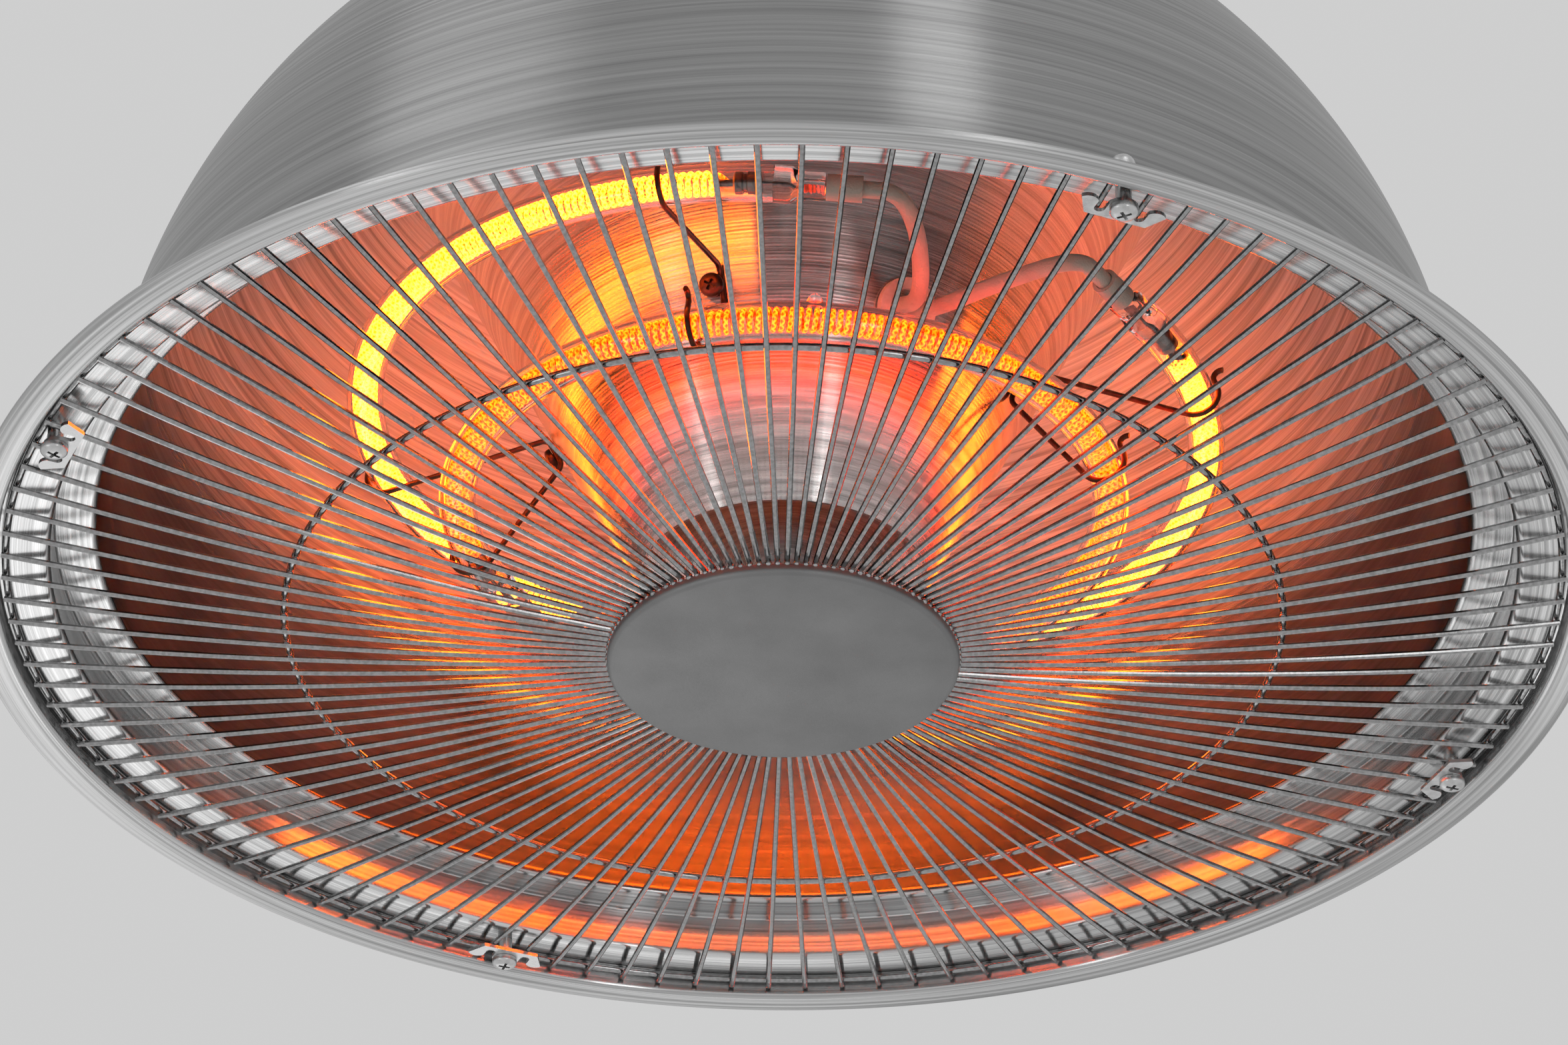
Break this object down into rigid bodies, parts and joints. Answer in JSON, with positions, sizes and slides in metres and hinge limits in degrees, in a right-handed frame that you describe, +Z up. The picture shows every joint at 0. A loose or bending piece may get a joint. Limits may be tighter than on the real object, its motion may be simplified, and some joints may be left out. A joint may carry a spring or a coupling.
{
  "type": "hanging infrared tent heater",
  "caption": "Hanging radiant heater: spun metal dome with a wire guard, ring-shaped quartz lamps round a reflector cone, and a loop to hang it by.",
  "frame": {"origin": "where the hook bears, at the inside top of the hanging ring", "axes": "+Z up along the heater's axis, -Y the side the picture was taken from, +Y the side of the cable gland"},
  "size_m": [0.4249, 0.425, 0.2789],
  "materials": {
    "spun_aluminium": "lathe-spun, finely brushed",
    "reflector_aluminium": "bright, turned grooves",
    "chromed_wire": "bright plated wire",
    "satin_steel": "satin, fine grain",
    "plated_steel": "bright zinc plate",
    "quartz": "clear, faintly pink",
    "glowing_carbon": "braided carbon strand, glowing",
    "metal_end_block": "bright",
    "glass_fibre_sleeve": "woven sleeve",
    "white_ceramic": "unglazed",
    "heat_browned_steel": "heat-tinted brown",
    "black_nylon": "fine matt",
    "brass_screw": "plain"
  },
  "bodies": {
    "hanging_ring": {"hanging_ring": "plated_steel"},
    "heater": {"dome_shade": "spun_aluminium", "reflector_cone": "reflector_aluminium", "hub_plate": "reflector_aluminium", "guard_spokes": "chromed_wire", "guard_outer_ring": "chromed_wire", "guard_middle_ring": "chromed_wire", "guard_disc": "satin_steel", "guard_clip_1": "plated_steel", "guard_clip_2": "plated_steel", "guard_clip_3": "plated_steel", "guard_clip_4": "plated_steel", "guard_clip_screws": "plated_steel", "guard_cap_nuts": "plated_steel", "outer_lamp_tube": "quartz", "outer_lamp_coil": "glowing_carbon", "outer_lamp_seals": "quartz", "outer_lamp_end_blocks": "metal_end_block", "outer_lamp_end_sleeves": "glass_fibre_sleeve", "inner_lamp_tube": "quartz", "inner_lamp_coil": "glowing_carbon", "inner_lamp_seals": "quartz", "inner_lamp_end_blocks": "metal_end_block", "inner_lamp_end_sleeves": "glass_fibre_sleeve", "lead_bushes": "white_ceramic", "outer_lamp_lead_a": "glass_fibre_sleeve", "outer_lamp_lead_b": "glass_fibre_sleeve", "inner_lamp_lead_a": "glass_fibre_sleeve", "inner_lamp_lead_b": "glass_fibre_sleeve", "lamp_clip_1": "heat_browned_steel", "lamp_clip_2": "heat_browned_steel", "lamp_clip_3": "heat_browned_steel", "lamp_clip_4": "heat_browned_steel", "lamp_clip_screws": "heat_browned_steel", "lamp_clip_nuts": "heat_browned_steel", "top_cap": "spun_aluminium", "cable_gland_body": "black_nylon", "cable_gland_nut": "black_nylon", "cable_gland_lock_nut": "black_nylon", "terminal_block": "white_ceramic", "terminal_screws": "brass_screw", "hanger_rod": "plated_steel", "rod_nuts": "plated_steel", "rod_washers": "plated_steel", "hanging_eye": "plated_steel"}
  },
  "joints": [
    {"name": "heater_swing", "type": "hinge", "parent": "hanging_ring", "child": "heater", "pos_m": [0, 0, -0.0215], "axis": [0, 1, 0], "range_deg": [-120, 120]}
  ]
}
